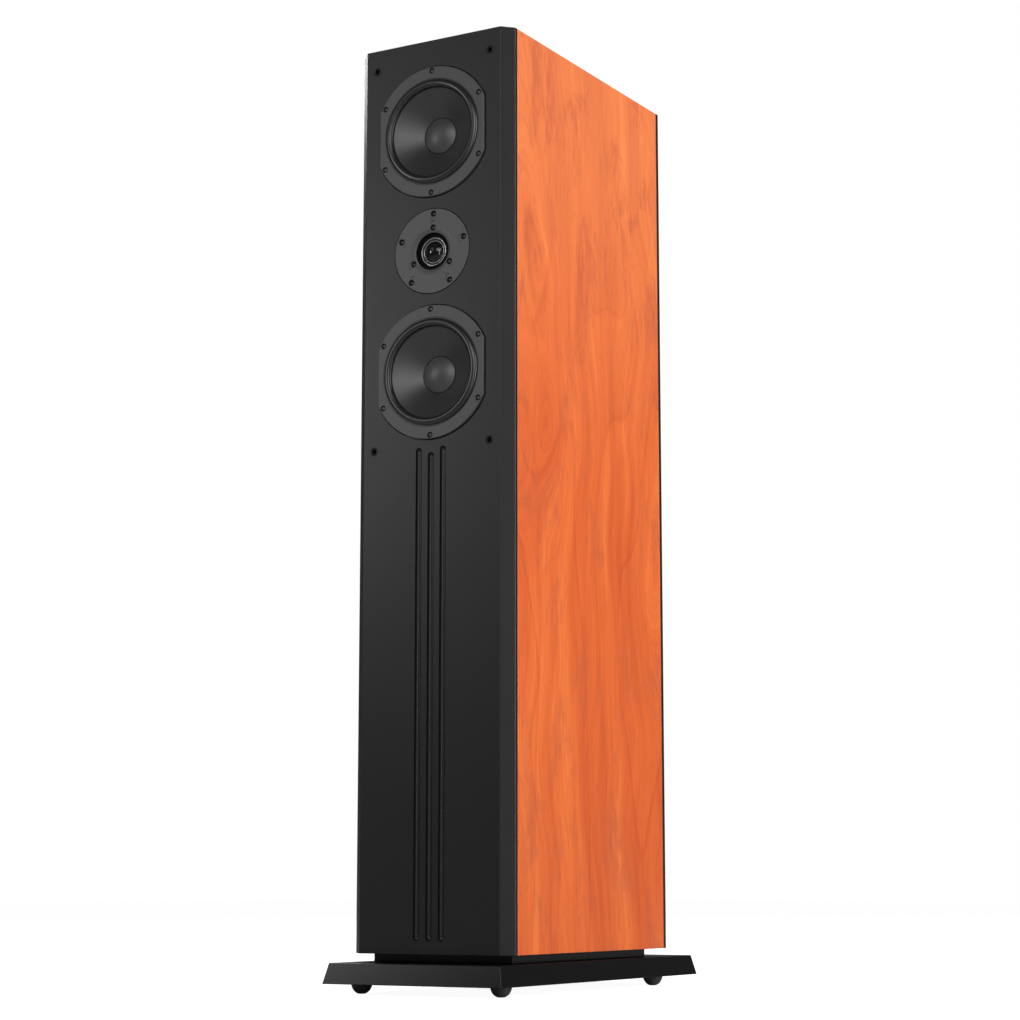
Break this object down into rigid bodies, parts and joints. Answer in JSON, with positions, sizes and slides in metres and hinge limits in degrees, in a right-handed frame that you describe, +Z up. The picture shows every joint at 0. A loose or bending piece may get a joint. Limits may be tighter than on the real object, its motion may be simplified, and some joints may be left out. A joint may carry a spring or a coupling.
{
  "type": "floorstanding loudspeaker",
  "caption": "Slim floorstanding loudspeaker: black chamfered baffle with woofers above and below a dome tweeter, cherry veneer sleeve, flared plinth on ball feet.",
  "frame": {"origin": "on the floor, under the middle of the plinth's outline", "axes": "+Z up, the baffle with its drivers faces -Y, +X is to the right for someone who faces the baffle's front looking along +Y"},
  "size_m": [0.24, 0.497, 1.141],
  "materials": {
    "black_paint": "satin black paint on board",
    "veneer": "satin cherry-orange wood veneer",
    "bare_board": "bare fibreboard",
    "gloss_base": "black board, half-gloss lacquer",
    "rubber": "black rubber",
    "basket": "cast frame with dark grey textured paint",
    "cone": "dark satin polypropylene",
    "spider_cloth": "resin-dipped cotton cloth",
    "copper": "enamelled copper winding",
    "zinc_steel": "zinc-plated steel",
    "ferrite": "sintered ferrite",
    "faceplate": "fine matt dark grey paint",
    "bright_trim": "polished ring",
    "dome_cloth": "coated black silk, glossy",
    "black_plastic": "moulded black plastic",
    "gilt": "gold-plated brass",
    "red_plastic": "moulded red plastic",
    "circuit_board": "green glass-fibre laminate",
    "capacitor_film": "yellow film wrap",
    "cable_jacket": "pvc jacket",
    "wadding": "polyester felt"
  },
  "bodies": {
    "cabinet": {"front_baffle": "black_paint", "side_panel_left": "veneer", "side_panel_right": "veneer", "top_panel": "veneer", "bottom_panel": "bare_board", "rear_panel": "black_paint", "brace_lower": "bare_board", "brace_upper": "bare_board", "plinth_riser": "black_paint", "plinth_base": "gloss_base", "foot_front_left": "rubber", "foot_front_right": "rubber", "foot_rear_left": "rubber", "foot_rear_right": "rubber", "woofer_upper_basket": "basket", "woofer_upper_surround": "rubber", "woofer_upper_spider": "spider_cloth", "woofer_upper_top_plate": "zinc_steel", "woofer_upper_magnet": "ferrite", "woofer_upper_back_plate": "zinc_steel", "woofer_lower_basket": "basket", "woofer_lower_surround": "rubber", "woofer_lower_spider": "spider_cloth", "woofer_lower_top_plate": "zinc_steel", "woofer_lower_magnet": "ferrite", "woofer_lower_back_plate": "zinc_steel", "tweeter_faceplate": "faceplate", "tweeter_trim_ring": "bright_trim", "tweeter_surround": "rubber", "tweeter_top_plate": "zinc_steel", "tweeter_magnet": "ferrite", "tweeter_back_plate": "zinc_steel", "grille_socket_upper_left": "black_plastic", "grille_socket_upper_right": "black_plastic", "grille_socket_lower_left": "black_plastic", "grille_socket_lower_right": "black_plastic", "port_tube": "black_plastic", "terminal_plate": "black_plastic", "binding_post_red": "gilt", "binding_post_black": "gilt", "crossover_board": "circuit_board", "inductor_woofer": "copper", "inductor_tweeter": "copper", "capacitor": "capacitor_film", "cable_woofer": "cable_jacket", "cable_woofer_link": "cable_jacket", "cable_tweeter": "cable_jacket", "damping_wadding": "wadding"},
    "woofer_upper_moving": {"woofer_upper_cone": "cone", "woofer_upper_dust_cap": "cone", "woofer_upper_voice_coil": "copper"},
    "woofer_lower_moving": {"woofer_lower_cone": "cone", "woofer_lower_dust_cap": "cone", "woofer_lower_voice_coil": "copper"},
    "tweeter_moving": {"tweeter_dome": "dome_cloth", "tweeter_voice_coil": "copper"},
    "red_washer": {"clamp_washer_red": "gilt"},
    "red_knob": {"terminal_knob_red": "red_plastic"},
    "black_washer": {"clamp_washer_black": "gilt"},
    "black_knob": {"terminal_knob_black": "black_plastic"}
  },
  "joints": [
    {"name": "woofer_upper_stroke", "type": "slide", "parent": "cabinet", "child": "woofer_upper_moving", "axis": [0, -1, 0], "range_m": [-0.005, 0.005], "stiffness_N_per_m": 1000, "deforming": ["woofer_upper_surround", "woofer_upper_spider"]},
    {"name": "woofer_lower_stroke", "type": "slide", "parent": "cabinet", "child": "woofer_lower_moving", "axis": [0, -1, 0], "range_m": [-0.005, 0.005], "stiffness_N_per_m": 1000, "deforming": ["woofer_lower_surround", "woofer_lower_spider"]},
    {"name": "tweeter_stroke", "type": "slide", "parent": "cabinet", "child": "tweeter_moving", "axis": [0, -1, 0], "range_m": [-0.0004, 0.0004], "stiffness_N_per_m": 2000, "deforming": ["tweeter_surround"]},
    {"name": "red_knob_lift", "type": "slide", "parent": "cabinet", "child": "red_washer", "axis": [0, 1, 0], "range_m": [0, 0.005]},
    {"name": "red_knob_turn", "type": "hinge", "parent": "red_washer", "child": "red_knob", "pos_m": [-0.0095, 0.1981, 0.19603], "axis": [0, 1, 0], "range_deg": [0, 1800]},
    {"name": "black_knob_lift", "type": "slide", "parent": "cabinet", "child": "black_washer", "axis": [0, 1, 0], "range_m": [0, 0.005]},
    {"name": "black_knob_turn", "type": "hinge", "parent": "black_washer", "child": "black_knob", "pos_m": [0.0095, 0.1981, 0.19603], "axis": [0, 1, 0], "range_deg": [0, 1800]}
  ],
  "couplings": [
    {"joint": "red_knob_lift", "follows": "red_knob_turn", "m_per_rad": 0.000159},
    {"joint": "black_knob_lift", "follows": "black_knob_turn", "m_per_rad": 0.000159}
  ]
}
